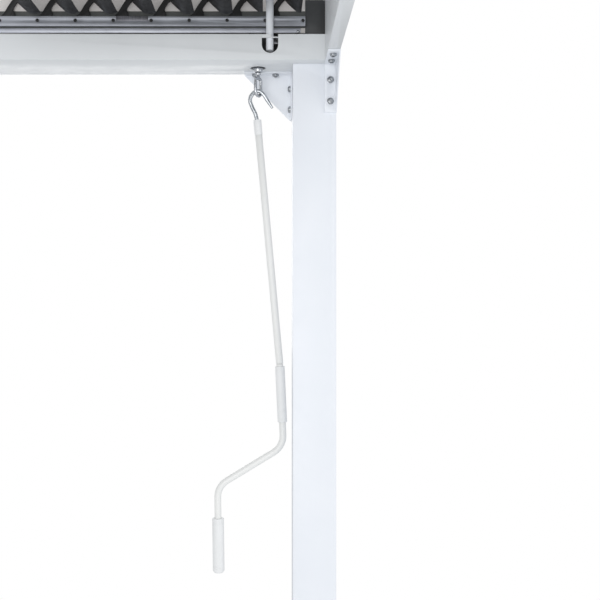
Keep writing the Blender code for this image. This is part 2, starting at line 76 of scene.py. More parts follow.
lightSet = {
    "skyStrength": 0.66,
    "skyColour": (0.965, 0.98, 1.0),
    "backdrop": (1.0, 1.0, 1.0),
    # name, place, target, side in metres, power in watts
    "lamps": (
        ("keyLight", (-0.9, -3.6, 1.5), (-0.1, 0, 1.7), 2.4, 44),
        ("sideLight", (2.6, -1.6, 1.6), (0, -0.1, 1.7), 2.0, 18),
        ("backLight", (-1.0, 2.6, 2.2), (-0.3, 0, 1.9), 2.0, 16),
    ),
    "floorSide": 3.0,
    "floorDrop": 0.0005,  # keeps the floor just clear of the base plate
}


def setCamera(s):
    data = bpy.data.cameras.new("camera")
    data.lens = s["lens"]
    data.sensor_width = s["sensor"]
    data.shift_x = s["shift"]
    camera = bpy.data.objects.new("camera", data)
    camera.location = s["from"]
    camera.rotation_euler = (math.radians(90), 0, 0)
    bpy.context.scene.collection.objects.link(camera)
    bpy.context.scene.camera = camera


def areaLight(name, place, target, side, power):
    data = bpy.data.lights.new(name, "AREA")
    data.shape = "SQUARE"
    data.size = side
    data.energy = power
    lamp = bpy.data.objects.new(name, data)
    lamp.location = place
    way = Vector(target) - Vector(place)
    lamp.rotation_euler = way.to_track_quat("-Z", "Y").to_euler()
    bpy.context.scene.collection.objects.link(lamp)


def addNode(tree, kind, settings=None, links=None):
    # settings are attributes by name and socket values by index or name, links are sources by socket
    node = tree.nodes.new(kind)
    for key, value in (settings or {}).items():
        if isinstance(key, int) or key in node.inputs:
            node.inputs[key].default_value = value
        else:
            setattr(node, key, value)
    for key, source in (links or {}).items():
        tree.links.new(source, node.inputs[key])
    return node


def hexColour(code, alpha=1.0):
    parts = [int(code[k:k + 2], 16) / 255 for k in (0, 2, 4)]
    linear = [c / 12.92 if c <= 0.04045 else ((c + 0.055) / 1.055) ** 2.4 for c in parts]
    return (*linear, alpha)


def setLight(s):
    world = bpy.data.worlds.new("studio")
    bpy.context.scene.world = world
    world.use_nodes = True
    tree = world.node_tree
    tree.nodes.clear()
    soft = addNode(tree, "ShaderNodeBackground",
                   {"Color": (*s["skyColour"], 1), "Strength": s["skyStrength"]})
    seen = addNode(tree, "ShaderNodeBackground", {"Color": (*s["backdrop"], 1), "Strength": 1.0})
    path = addNode(tree, "ShaderNodeLightPath")
    mix = addNode(tree, "ShaderNodeMixShader", None,
                  {0: path.outputs["Is Camera Ray"], 1: soft.outputs[0], 2: seen.outputs[0]})
    addNode(tree, "ShaderNodeOutputWorld", None, {"Surface": mix.outputs[0]})
    for lamp in s["lamps"]:
        areaLight(*lamp)

    bpy.ops.mesh.primitive_plane_add(size=s["floorSide"], location=(0, 0, -s["floorDrop"]))
    floor = bpy.context.object
    floor.name = "floor"
    floor.data.materials.append(floorPaint())


def startMaterial(name):
    made = bpy.data.materials.new(name)
    made.use_nodes = True
    tree = made.node_tree
    shader = tree.nodes["Principled BSDF"]
    place = addNode(tree, "ShaderNodeTexCoord")
    return made, tree, shader, place.outputs["Object"]


def floorPaint():
    made, tree, shader, place = startMaterial("paleFloor")
    grain = addNode(tree, "ShaderNodeTexNoise", {"Scale": 6.0, "Detail": 3.0}, {"Vector": place})
    tint = addNode(tree, "ShaderNodeValToRGB", None, {"Fac": grain.outputs["Fac"]})
    tint.color_ramp.elements[0].color = hexColour("F1F2F3")
    tint.color_ramp.elements[1].color = hexColour("F7F7F8")
    tree.links.new(tint.outputs["Color"], shader.inputs["Base Color"])
    shader.inputs["Roughness"].default_value = 0.8
    return made


def powderCoat(name, darkHex, lightHex, rough, peel=0.0012, depth=0.00003):
    # Sprayed polyester powder, baked: an even colour with a faint orange peel that softens each highlight
    made, tree, shader, place = startMaterial(name)
    cloud = addNode(tree, "ShaderNodeTexNoise", {"Scale": 3.5, "Detail": 4.0}, {"Vector": place})
    tint = addNode(tree, "ShaderNodeValToRGB", None, {"Fac": cloud.outputs["Fac"]})
    tint.color_ramp.elements[0].position = 0.3
    tint.color_ramp.elements[1].position = 0.7
    tint.color_ramp.elements[0].color = hexColour(darkHex)
    tint.color_ramp.elements[1].color = hexColour(lightHex)
    dust = addNode(tree, "ShaderNodeTexNoise", {"Scale": 45.0, "Detail": 5.0, "Roughness": 0.6},
                   {"Vector": place})
    gloss = addNode(tree, "ShaderNodeMapRange", {1: 0.35, 2: 0.7, 3: rough - 0.06, 4: rough + 0.08},
                    {0: dust.outputs["Fac"]})
    skin = addNode(tree, "ShaderNodeTexNoise", {"Scale": 1 / peel, "Detail": 2.0}, {"Vector": place})
    bump = addNode(tree, "ShaderNodeBump", {"Strength": 0.5, "Distance": depth},
                   {"Height": skin.outputs["Fac"]})
    tree.links.new(tint.outputs["Color"], shader.inputs["Base Color"])
    tree.links.new(gloss.outputs[0], shader.inputs["Roughness"])
    tree.links.new(bump.outputs["Normal"], shader.inputs["Normal"])
    return made


def millAluminium(name, darkHex, lightHex, rough, along=0, line=0.0012):
    # Extruded and left bare: drawn lines run the length of the bar, with dull grey patches of oxide
    made, tree, shader, place = startMaterial(name)
    stretch = [1 / line] * 3
    stretch[along] = 6.0
    lined = addNode(tree, "ShaderNodeMapping", {"Scale": stretch}, {"Vector": place})
    lines = addNode(tree, "ShaderNodeTexNoise", {"Scale": 1.0, "Detail": 3.0}, {"Vector": lined.outputs[0]})
    patch = addNode(tree, "ShaderNodeTexNoise", {"Scale": 22.0, "Detail": 4.0}, {"Vector": place})
    both = addNode(tree, "ShaderNodeMath", {"operation": "MULTIPLY"},
                   {0: lines.outputs["Fac"], 1: patch.outputs["Fac"]})
    tint = addNode(tree, "ShaderNodeValToRGB", None, {"Fac": both.outputs[0]})
    tint.color_ramp.elements[0].position = 0.14
    tint.color_ramp.elements[1].position = 0.38
    tint.color_ramp.elements[0].color = hexColour(darkHex)
    tint.color_ramp.elements[1].color = hexColour(lightHex)
    gloss = addNode(tree, "ShaderNodeMapRange", {1: 0.3, 2: 0.7, 3: rough - 0.1, 4: rough + 0.12},
                    {0: lines.outputs["Fac"]})
    bump = addNode(tree, "ShaderNodeBump", {"Strength": 0.35, "Distance": 0.00004},
                   {"Height": lines.outputs["Fac"]})
    tree.links.new(tint.outputs["Color"], shader.inputs["Base Color"])
    tree.links.new(gloss.outputs[0], shader.inputs["Roughness"])
    tree.links.new(bump.outputs["Normal"], shader.inputs["Normal"])
    shader.inputs["Metallic"].default_value = 1.0
    return made


def platedSteel(name, darkHex, lightHex, rough, speck=0.003):
    # Electroplated over turned or bent steel: bright, with faint cloudy patches where the bath varied
    made, tree, shader, place = startMaterial(name)
    cloud = addNode(tree, "ShaderNodeTexNoise", {"Scale": 1 / speck / 8, "Detail": 5.0}, {"Vector": place})
    tint = addNode(tree, "ShaderNodeValToRGB", None, {"Fac": cloud.outputs["Fac"]})
    tint.color_ramp.elements[0].position = 0.35
    tint.color_ramp.elements[1].position = 0.65
    tint.color_ramp.elements[0].color = hexColour(darkHex)
    tint.color_ramp.elements[1].color = hexColour(lightHex)
    fine = addNode(tree, "ShaderNodeTexNoise", {"Scale": 1 / speck, "Detail": 3.0}, {"Vector": place})
    gloss = addNode(tree, "ShaderNodeMapRange", {1: 0.3, 2: 0.7, 3: rough - 0.05, 4: rough + 0.08},
                    {0: fine.outputs["Fac"]})
    bump = addNode(tree, "ShaderNodeBump", {"Strength": 0.15, "Distance": 0.00004},
                   {"Height": fine.outputs["Fac"]})
    tree.links.new(tint.outputs["Color"], shader.inputs["Base Color"])
    tree.links.new(gloss.outputs[0], shader.inputs["Roughness"])
    tree.links.new(bump.outputs["Normal"], shader.inputs["Normal"])
    shader.inputs["Metallic"].default_value = 1.0
    return made


def mouldedPlastic(name, darkHex, lightHex, rough, grain=0.0008):
    # Injection-moulded polypropylene: a soft sheen over a fine spark-eroded grain
    made, tree, shader, place = startMaterial(name)
    cloud = addNode(tree, "ShaderNodeTexNoise", {"Scale": 30.0, "Detail": 3.0}, {"Vector": place})
    tint = addNode(tree, "ShaderNodeValToRGB", None, {"Fac": cloud.outputs["Fac"]})
    tint.color_ramp.elements[0].color = hexColour(darkHex)
    tint.color_ramp.elements[1].color = hexColour(lightHex)
    pits = addNode(tree, "ShaderNodeTexVoronoi", {"Scale": 1 / grain}, {"Vector": place})
    gloss = addNode(tree, "ShaderNodeMapRange", {1: 0.0, 2: 0.6, 3: rough + 0.08, 4: rough - 0.05},
                    {0: pits.outputs["Distance"]})
    bump = addNode(tree, "ShaderNodeBump", {"Strength": 0.3, "Distance": 0.00005},
                   {"Height": pits.outputs["Distance"]})
    tree.links.new(tint.outputs["Color"], shader.inputs["Base Color"])
    tree.links.new(gloss.outputs[0], shader.inputs["Roughness"])
    tree.links.new(bump.outputs["Normal"], shader.inputs["Normal"])
    shader.inputs["Specular IOR Level"].default_value = 0.4
    return made


def castIron(name):
    # Sand-cast and left dark: coarse pitted skin, almost no shine
    made, tree, shader, place = startMaterial(name)
    sand = addNode(tree, "ShaderNodeTexNoise", {"Scale": 700.0, "Detail": 4.0}, {"Vector": place})
    tint = addNode(tree, "ShaderNodeValToRGB", None, {"Fac": sand.outputs["Fac"]})
    tint.color_ramp.elements[0].color = hexColour("3A3B3D")
    tint.color_ramp.elements[1].color = hexColour("55575A")
    bump = addNode(tree, "ShaderNodeBump", {"Strength": 0.6, "Distance": 0.0002},
                   {"Height": sand.outputs["Fac"]})
    tree.links.new(tint.outputs["Color"], shader.inputs["Base Color"])
    tree.links.new(bump.outputs["Normal"], shader.inputs["Normal"])
    shader.inputs["Roughness"].default_value = 0.7
    shader.inputs["Metallic"].default_value = 0.6
    return made


whiteCoat = powderCoat("whitePowderCoat", "E8ECF2", "EEF1F6", 0.38)
# the beams are white like the post; their slightly darker coat is painted shade
beamPaintedShadeCoat = powderCoat("shadedPowderCoat", "DDE0E2", "E3E6E8", 0.38)
darkCoat = powderCoat("anthraciteTextureCoat", "070708", "0E0E0F", 0.5, peel=0.002, depth=0.00006)
plateCoat = powderCoat("closingPlateCoat", "2C2E30", "393B3D", 0.48, peel=0.002, depth=0.0001)
crankCoat = powderCoat("crankPowderCoat", "E9EAE8", "F0F0EE", 0.36, depth=0.00001)
bareBar = millAluminium("millFinishAluminium", "A6A9B0", "B6B9C0", 0.55, line=0.0006)
brightStrip = millAluminium("anodisedStrip", "CACDD6", "DADDE6", 0.5, line=0.0006)
armMetal = millAluminium("punchedAluminium", "6A6A70", "8E8E94", 0.45, along=2)
# dark grey band along the rail behind the link bar: painted shade, carried by the rail_seal piece
sealRubber = mouldedPlastic("sealRubber", "4C4E4D", "5E605E", 0.62, grain=0.0006)
# the pivot rail is white; its warm grey colour is painted shade
railPaintedShadeCoat = powderCoat("warmGreyPowderCoat", "DAD6D3", "E2DEDB", 0.45)
eyeChrome = platedSteel("chromedEyeSteel", "B4B6BA", "D6D8DB", 0.16)
hookZinc = platedSteel("zincPlatedWire", "A4A8AC", "D0D3D6", 0.24, speck=0.002)
boltSteel = platedSteel("zincPlatedBolt", "94979B", "B6B9BC", 0.24, speck=0.0015)
gearSteel = platedSteel("oiledGearSteel", "55565A", "7C7D80", 0.34, speck=0.002)
gripPlastic = mouldedPlastic("gripPolypropylene", "E8E9E9", "F0F1F1", 0.46)
housingIron = castIron("castGearHousing")
print("materials made")


def keepMesh(name, body, look, smoothAngle=35):
    bmesh.ops.remove_doubles(body, verts=body.verts, dist=0.000005)
    bmesh.ops.recalc_face_normals(body, faces=body.faces)
    mesh = bpy.data.meshes.new(name)
    body.to_mesh(mesh)
    body.free()
    mesh.materials.append(look)
    mesh.shade_smooth()
    mesh.set_sharp_from_angle(angle=math.radians(smoothAngle))
    made = bpy.data.objects.new(name, mesh)
    bpy.context.scene.collection.objects.link(made)
    return made


def applied(piece, look):
    # the evaluated mesh takes the place of the modifiers, and the object's place goes into the mesh
    bpy.context.view_layer.update()
    graph = bpy.context.evaluated_depsgraph_get()
    mesh = bpy.data.meshes.new_from_object(piece.evaluated_get(graph))
    mesh.transform(piece.matrix_world)
    name = piece.name
    bpy.data.objects.remove(piece, do_unlink=True)
    mesh.materials.clear()
    mesh.materials.append(look)
    made = bpy.data.objects.new(name, mesh)
    bpy.context.scene.collection.objects.link(made)
    return made


def finished(node, look, width, steps=2):
    # a copy of the solid with its flat faces whole again and its sharp edges rounded off by width
    body = bmesh.new()
    body.from_mesh(nodes[node].data)
    bmesh.ops.remove_doubles(body, verts=body.verts, dist=0.00002)
    bmesh.ops.dissolve_limit(body, angle_limit=math.radians(1), verts=body.verts, edges=body.edges)
    piece = keepMesh(node + "_fine", body, look)
    edge = piece.modifiers.new("brokenEdges", "BEVEL")
    edge.width = width
    edge.segments = steps
    edge.limit_method = "ANGLE"
    edge.angle_limit = math.radians(32)
    edge.use_clamp_overlap = True
    edge.harden_normals = False
    piece = applied(piece, look)
    piece.data.shade_smooth()
    piece.data.set_sharp_from_angle(angle=math.radians(50))
    return settle(piece, node)


def settle(piece, *replaced):
    # the piece moves with the body of the first node it stands in for
    home = next(body for body, members in bodies.items() if replaced[0] in members)
    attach(piece, home)
    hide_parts(*replaced)
    return piece


def standing(base, axis):
    # the place of a turned piece: its own Z runs along axis from base
    turn = Vector((0, 0, 1)).rotation_difference(Vector(axis)).to_matrix().to_4x4()
    return Matrix.Translation(base) @ turn


def lathe(name, profile, place, look, steps=64, smoothAngle=40):
    # profile points are (radius, height) in metres, spun round local Z
    body = bmesh.new()
    ring = [body.verts.new((r, 0, z)) for r, z in profile]
    edges = [body.edges.new(pair) for pair in zip(ring, ring[1:])]
    if profile[0][0] > 0 and profile[-1][0] > 0:
        edges.append(body.edges.new((ring[-1], ring[0])))
    bmesh.ops.spin(body, geom=ring + edges, cent=(0, 0, 0), axis=(0, 0, 1), angle=2 * math.pi, steps=steps)
    bmesh.ops.remove_doubles(body, verts=body.verts, dist=0.000005)
    body.transform(place)
    return keepMesh(name, body, look, smoothAngle)


def roundedEnds(radius, inner, length, ease, steps=5):
    # wall of a tube with eased ends, as (radius, height) points round its section
    points = []
    for k in range(steps + 1):
        a = math.pi / 2 * k / steps
        points.append((radius - ease + ease * math.cos(a), length - ease + ease * math.sin(a)))
    points += [(inner, length), (inner, 0)]
    for k in range(steps + 1):
        a = math.pi / 2 * (1 - k / steps)
        points.append((radius - ease + ease * math.cos(a), ease - ease * math.sin(a)))
    return points


def wire(name, path, radius, look, radii=None, around=8, along=20, closed=False, smooth=True):
    # path is in metres; a curve through its points, eased or straight between them, swept round
    data = bpy.data.curves.new(name, "CURVE")
    data.dimensions = "3D"
    data.bevel_depth = radius
    data.bevel_resolution = around
    data.resolution_u = along
    data.use_fill_caps = not closed
    spline = data.splines.new("BEZIER" if smooth else "POLY")
    points = spline.bezier_points if smooth else spline.points
    points.add(len(path) - 1)
    spline.use_cyclic_u = closed
    for k, (point, place) in enumerate(zip(points, path)):
        point.co = place if smooth else (*place, 1)
        if smooth:
            point.handle_left_type = "AUTO"
            point.handle_right_type = "AUTO"
        if radii:
            point.radius = radii[k]
    curve = bpy.data.objects.new(name, data)
    bpy.context.scene.collection.objects.link(curve)
    bpy.context.view_layer.update()
    mesh = bpy.data.meshes.new_from_object(curve.evaluated_get(bpy.context.evaluated_depsgraph_get()))
    bpy.data.objects.remove(curve, do_unlink=True)
    body = bmesh.new()
    body.from_mesh(mesh)
    return keepMesh(name, body, look, 50)


def copyTree(name, look):
    # puts a copy of the source shape on each point, its Z along the point's "facing" vector
    tree = bpy.data.node_groups.new(name, "GeometryNodeTree")
    face = tree.interface
    face.new_socket("Geometry", in_out="INPUT", socket_type="NodeSocketGeometry")
    face.new_socket("Source", in_out="INPUT", socket_type="NodeSocketObject")
    face.new_socket("Socket Width", in_out="INPUT", socket_type="NodeSocketFloat")
    face.new_socket("Socket Depth", in_out="INPUT", socket_type="NodeSocketFloat")
    face.new_socket("Height", in_out="INPUT", socket_type="NodeSocketFloat")
    face.new_socket("Geometry", in_out="OUTPUT", socket_type="NodeSocketGeometry")
    start = addNode(tree, "NodeGroupInput")
    shape = addNode(tree, "GeometryNodeObjectInfo", None, {"Object": start.outputs["Source"]})
    key = addNode(tree, "GeometryNodeMeshCylinder", {"Vertices": 6},
                  {"Radius": start.outputs["Socket Width"], "Depth": start.outputs["Socket Depth"]})
    lift = addNode(tree, "ShaderNodeCombineXYZ", None, {"Z": start.outputs["Height"]})
    raised = addNode(tree, "GeometryNodeTransform", None,
                     {"Geometry": key.outputs["Mesh"], "Translation": lift.outputs[0]})
    bored = addNode(tree, "GeometryNodeMeshBoolean", {"operation": "DIFFERENCE", "solver": "EXACT"},
                    {0: shape.outputs["Geometry"], 1: raised.outputs["Geometry"]})
    facing = addNode(tree, "GeometryNodeInputNamedAttribute", {"data_type": "FLOAT_VECTOR", "Name": "facing"})
    turn = addNode(tree, "FunctionNodeAlignRotationToVector", {"axis": "Z"}, {"Vector": facing.outputs[0]})
    copies = addNode(tree, "GeometryNodeInstanceOnPoints", None,
                     {"Points": start.outputs["Geometry"], "Instance": bored.outputs[0],
                      "Rotation": turn.outputs[0]})
    solid = addNode(tree, "GeometryNodeRealizeInstances", None, {0: copies.outputs[0]})
    coated = addNode(tree, "GeometryNodeSetMaterial", {"Material": look}, {0: solid.outputs[0]})
    addNode(tree, "NodeGroupOutput", None, {0: coated.outputs[0]})
    return tree


def placedCopies(name, source, spots, look, inputs):
    # spots are (place, facing) pairs; the result is one plain mesh
    mesh = bpy.data.meshes.new(name)
    mesh.from_pydata([tuple(place) for place, _ in spots], [], [])
    store = mesh.attributes.new("facing", "FLOAT_VECTOR", "POINT")
    for k, (_, way) in enumerate(spots):
        store.data[k].vector = way
    holder = bpy.data.objects.new(name, mesh)
    bpy.context.scene.collection.objects.link(holder)
    tree = copyTree(name + "Tree", look)
    step = holder.modifiers.new("copies", "NODES")
    step.node_group = tree
    values = {"Source": source, **inputs}
    for item in tree.interface.items_tree:
        if item.in_out == "INPUT" and item.name in values:
            step[item.identifier] = values[item.name]
    made = applied(holder, look)
    bpy.data.objects.remove(source, do_unlink=True)
    made.data.shade_smooth()
    made.data.set_sharp_from_angle(angle=math.radians(35))
    return made


bridgeSet = {
    # thin web left across the mouth of the rod's slot, as (x, z) in millimetres
    "outline": ((-133.9, 2155), (-93.1, 2155), (-93.1, 2157.5), (-110, 2157.5), (-110, 2163.8),
                (-133.9, 2163.8)),
    "front": -87.8,
    "back": -85.3,
}


def slotBridge(s):
    body = bmesh.new()
    near = [body.verts.new((x * mm, s["front"] * mm, z * mm)) for x, z in s["outline"]]
    face = body.faces.new(near)
    grown = bmesh.ops.extrude_face_region(body, geom=[face])["geom"]
    far = [g for g in grown if isinstance(g, bmesh.types.BMVert)]
    bmesh.ops.translate(body, verts=far, vec=(0, (s["back"] - s["front"]) * mm, 0))
    piece = keepMesh("slot_bridge_fine", body, beamPaintedShadeCoat)
    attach(piece, "frame")


def roofFrame():
    finished("post", whiteCoat, 0.0022, 4)
    # the beams take the darker coat, which is painted shade on white paint
    finished("back_beam", beamPaintedShadeCoat, 0.0009, 3)
    finished("side_beam", beamPaintedShadeCoat, 0.0012, 3)
    finished("beam_end_cap", whiteCoat, 0.0008, 3)
    finished("base_plate", whiteCoat, 0.0010, 2)
    for side in ("left", "right"):
        finished("bracket_" + side, whiteCoat, 0.0008, 3)
    # the rail's warm grey is painted shade on white paint
    finished("pivot_rail", railPaintedShadeCoat, 0.0005, 2)
    # the seal piece's dark grey is painted shade behind the link bar
    finished("rail_seal", sealRubber, 0.0005, 2)
    finished("rail_strip", brightStrip, 0.0006, 2)
    finished("closing_plate", plateCoat, 0.0004, 2)
    slotBridge(bridgeSet)
    print("frame finished")


boltSet = {
    "headRadius": 8.4 * mm,
    "headHeight": 7.4 * mm,
    "headFoot": 0.35,  # share of the head below its dome
    "headDrop": 7.5 * mm,  # from the node's outer end to the underside of the washer
    "washerRadius": 8.6 * mm,
    "washerThick": 1.2 * mm,
    "shankRadius": 3.9 * mm,
    "shankLength": 11.9 * mm,
    "socketWidth": 4.4 * mm,
    "socketDepth": 7.0 * mm,
    "facing": {
        "left_post": (-1, 0, 0),
        "right_post": (0, -1, 0),
        "left_beam": (0, 0, -1),
        "right_beam": (0, 0, -1),
    },
}


def boltShape(s):
    # button head on a plain washer; its six-sided socket is cut when it is copied
    thick = s["washerThick"]
    rise = s["headHeight"] - thick
    foot = s["headFoot"]
    dome = []
    for k in range(9):
        a = math.pi / 2 * (1 - k / 8)
        dome.append((s["headRadius"] * math.cos(a), thick + rise * (foot + (1 - foot) * math.sin(a))))
    dome[0] = (0, s["headHeight"])
    profile = dome + [(s["headRadius"] - 0.3 * mm, thick), (s["washerRadius"], thick - 0.1 * mm),
                      (s["washerRadius"], 0), (s["shankRadius"], 0),
                      (s["shankRadius"], -s["shankLength"]), (0, -s["shankLength"])]
    return lathe("boltShape", profile, Matrix.Identity(4), boltSteel, 48)


def bolts():
    s = boltSet
    names, spots = [], []
    for where, way in s["facing"].items():
        for k in ("1", "2"):
            node = "bolt_" + where + "_" + k
            low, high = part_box(node)
            place = middleOf(node)
            facing = Vector(way)
            axis = [abs(c) for c in way].index(1)
            headEnd = low[axis] if facing[axis] < 0 else high[axis]
            place[axis] = headEnd - facing[axis] * s["headDrop"]
            names.append(node)
            spots.append((place, way))
    made = placedCopies("bracketBolts", boltShape(s), spots, boltSteel,
                        {"Socket Width": s["socketWidth"], "Socket Depth": s["socketDepth"],
                         "Height": s["headHeight"]})
    settle(made, *names)
    finished("strip_screw", boltSteel, 0.0003, 2)
    print("bolts placed:", len(spots))


bladeSet = {
    # upper and lower skins about the pivot, in millimetres, from the rain side to the drip side
    "upper": ((-54.7, 0.9), (-40, 4.4), (-20, 7.2), (0, 7.9), (20, 7.7), (40, 6.4), (60, 4.9), (81.6, 3.3)),
    "lower": ((81.6, 1.4), (75.8, -6.8), (67.9, -13.8), (58, -17.3), (49, -17.4), (30, -16.4), (17, -14.4),
              (0, -8.9), (-20, -4.9), (-40, -1.9), (-54.7, -0.6)),
    "shortUpper": ((-54.7, 0.9), (-40, 4.4), (-20, 7.2), (0, 7.9), (20, 6.9), (40, 3.3), (58, -4.6),
                   (65.7, -10)),
    "shortLower": ((65.7, -11.8), (59.9, -15.8), (50, -16.9), (30, -16.4), (17, -14.4), (0, -8.9),
                   (-20, -4.9), (-40, -1.9), (-54.7, -0.6)),
    "shortOnes": (1, 2),
    "skin": 1.5,
    "wallInset": 12.0,  # how far inside the cut end the hollow is left open, in millimetres
    "endInset": 0.2,  # from each end of the node
    "solidTip": 4,  # points at each end of a skin with no hollow behind them
    "tilt": 40.0,  # degrees, drip side down
    "perSpan": 5,  # points made for each one given
}


def eased(points, steps):
    # a smooth run through the points, for skins that are rolled and not folded
    run = []
    for k in range(len(points) - 1):
        p0 = points[max(k - 1, 0)]
        p1, p2 = points[k], points[k + 1]
        p3 = points[min(k + 2, len(points) - 1)]
        for n in range(steps):
            t = n / steps
            run.append(tuple(0.5 * (2 * b + (c - a) * t + (2 * a - 5 * b + 4 * c - d) * t * t
                                    + (3 * b - a - 3 * c + d) * t ** 3)
                             for a, b, c, d in zip(p0, p1, p2, p3)))
    return run + [points[-1]]


def bladeMesh(upper, lower, s, pivot, front, back, name):
    # the outer skin, closed at the linkage end and open at the cut end so its hollow shows
    a = math.radians(s["tilt"])

    def ringAt(points, y, body):
        return [body.verts.new((pivot.x + (x * math.cos(a) + z * math.sin(a)) * mm, y,
                                pivot.z + (-x * math.sin(a) + z * math.cos(a)) * mm)) for x, z in points]

    top, low = eased(upper, s["perSpan"]), eased(lower, s["perSpan"])
    outer = top + low
    tip = s["solidTip"]
    inner = [(x, z - s["skin"]) for x, z in top[tip:-tip]] + [(x, z + s["skin"]) for x, z in low[tip:-tip]]
    body = bmesh.new()
    frontOut, backOut = ringAt(outer, front, body), ringAt(outer, back, body)
    frontIn, deepIn = ringAt(inner, front, body), ringAt(inner, front + s["wallInset"] * mm, body)
    for one, two in ((frontOut, backOut), (frontIn, deepIn)):
        for k in range(len(one)):
            n = (k + 1) % len(one)
            body.faces.new((one[k], one[n], two[n], two[k]))
    body.faces.new(backOut)
    body.faces.new(deepIn)
    edges = []
    for ring in (frontOut, frontIn):
        for k in range(len(ring)):
            edges.append(body.edges.get((ring[k], ring[(k + 1) % len(ring)])))
    bmesh.ops.triangle_fill(body, use_beauty=True, edges=edges, normal=(0, -1, 0))
    return keepMesh(name, body, darkCoat, 32)


def blades():
    s = bladeSet
    number = 1
    while "louvre_blade_" + str(number) in nodes:
        node = "louvre_blade_" + str(number)
        low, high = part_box(node)
        pivot = jointPlace("louvre_" + str(number) + "_tilt")
        short = number in s["shortOnes"]
        upper, lower = (s["shortUpper"], s["shortLower"]) if short else (s["upper"], s["lower"])
        front, back = low[1] + s["endInset"] * mm, high[1] - s["endInset"] * mm
        blade = bladeMesh(upper, lower, s, pivot, front, back, node + "_fine")
        settle(blade, node)
        finished("louvre_lever_" + str(number), darkCoat, 0.0003, 2)
        number += 1
    finished("link_bar", bareBar, 0.0004, 2)
    finished("bar_plate", armMetal, 0.0003, 2)
    finished("bar_end_stud", darkCoat, 0.0003, 2)
    print("louvres made:", number - 1)


rodSet = {"radius": 9.55 * mm, "inner": 7.4 * mm, "ease": 0.8 * mm}


def drive():
    s = rodSet
    low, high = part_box("push_rod")
    base = Vector((middleOf("push_rod").x, middleOf("push_rod").y, low[2]))
    rod = lathe("push_rod_fine", roundedEnds(s["radius"], s["inner"], high[2] - low[2], s["ease"]),
                Matrix.Translation(base), whiteCoat, 64)
    settle(rod, "push_rod")
    finished("drive_arm", armMetal, 0.0004, 2)
    finished("output_arm", gearSteel, 0.0004, 2)
    finished("gear_wheel", gearSteel, 0.0003, 1)
    finished("drive_shaft", gearSteel, 0.0003, 1)
    finished("housing_front", housingIron, 0.0012, 3)
    finished("housing_rear", housingIron, 0.0012, 3)
    print("drive finished")


eyeSet = {
    "collarTop": 12.0 * mm,
    "collarLow": 9.0 * mm,
    "collarEdge": 0.5 * mm,
    "grooveDepth": 0.6 * mm,
    "grooveHeights": (11.4 * mm, 11.0 * mm, 9.8 * mm, 9.4 * mm),  # above the collar's lower rim
    "bowlHeight": 8.4 * mm,
    "rimHeight": 0.2 * mm,
    "bore": 7.6 * mm,
    "ball": 6.95 * mm,
    "wire": 4.25 * mm,
    "halfWidth": 12.6 * mm,
    "loopTop": 2073.5 * mm,
    "loopLow": 2028.7 * mm,
    "corner": 6.0 * mm,
    "turn": 33.0,  # degrees from square to the hook
    "stem": 5.95 * mm,
    "stemGap": 0.4 * mm,
    "stemEdge": 0.6 * mm,
}


def collarProfile(s, tall):
    # from the bore's upper rim down the outside and back to the bore
    outer, groove = s["collarTop"], s["collarTop"] - s["grooveDepth"]
    edge = s["collarEdge"]
    heights = s["grooveHeights"]
    profile = [(s["bore"], tall), (outer - edge, tall), (outer, tall - edge),
               (outer, heights[0]), (groove, heights[1]), (groove, heights[2]), (outer, heights[3])]
    for k in range(11):
        a = math.pi / 2 * k / 10
        profile.append((s["collarLow"] + (outer - s["collarLow"]) * math.cos(a),
                        s["bowlHeight"] * (1 - math.sin(a)) + s["rimHeight"]))
    return profile + [(s["bore"] + 0.4 * mm, s["rimHeight"]), (s["bore"], 0.5 * mm)]


def eye():
    s = eyeSet
    centre = jointPlace("crank_swing")
    low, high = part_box("eye_collar")
    collar = lathe("eye_collar_fine", collarProfile(s, high[2] - low[2]),
                   Matrix.Translation((centre.x, centre.y, low[2])), eyeChrome, 72)
    settle(collar, "eye_collar")

    angles = [math.pi * k / 32 for k in range(33)]
    ball = [(s["ball"] * math.sin(a), s["ball"] * math.cos(a)) for a in angles]
    ball[0] = (0, ball[0][1])
    ball[-1] = (0, ball[-1][1])
    settle(lathe("eye_ball_fine", ball, Matrix.Translation(centre), eyeChrome, 64), "eye_ball")

    way = math.radians(90 - s["turn"])
    loop = []
    half = s["halfWidth"]
    for side in (1, -1):
        for k in range(7):
            a = math.pi / 2 * (k / 6 if side > 0 else 1 - k / 6)
            loop.append((side * (half - s["corner"] + s["corner"] * math.cos(a)),
                         s["loopTop"] - s["corner"] + s["corner"] * math.sin(a)))
    for k in range(13):
        a = math.pi + math.pi * k / 12
        loop.append((half * math.cos(a), s["loopLow"] + half + half * math.sin(a)))
    path = [(centre.x + w * math.cos(way), centre.y + w * math.sin(way), z) for w, z in loop]
    ring = wire("eye_fine", path, s["wire"], eyeChrome, around=8, closed=True, smooth=False)
    top = centre.z - s["ball"] - s["stemGap"]
    length = top - s["loopTop"]
    edge = s["stemEdge"]
    stemShape = [(0, length), (s["stem"] - edge, length), (s["stem"], length - edge), (s["stem"], 0), (0, 0)]
    stem = lathe("stemShape", stemShape, Matrix.Translation((centre.x, centre.y, s["loopTop"])),
                 eyeChrome, 48)
    weld = ring.modifiers.new("weld", "BOOLEAN")
    weld.operation = "UNION"
    weld.solver = "EXACT"
    weld.object = stem
    ring = applied(ring, eyeChrome)
    bpy.data.objects.remove(stem, do_unlink=True)
    ring.data.shade_smooth()
    ring.data.set_sharp_from_angle(angle=math.radians(50))
    settle(ring, "eye")
    print("eye made")


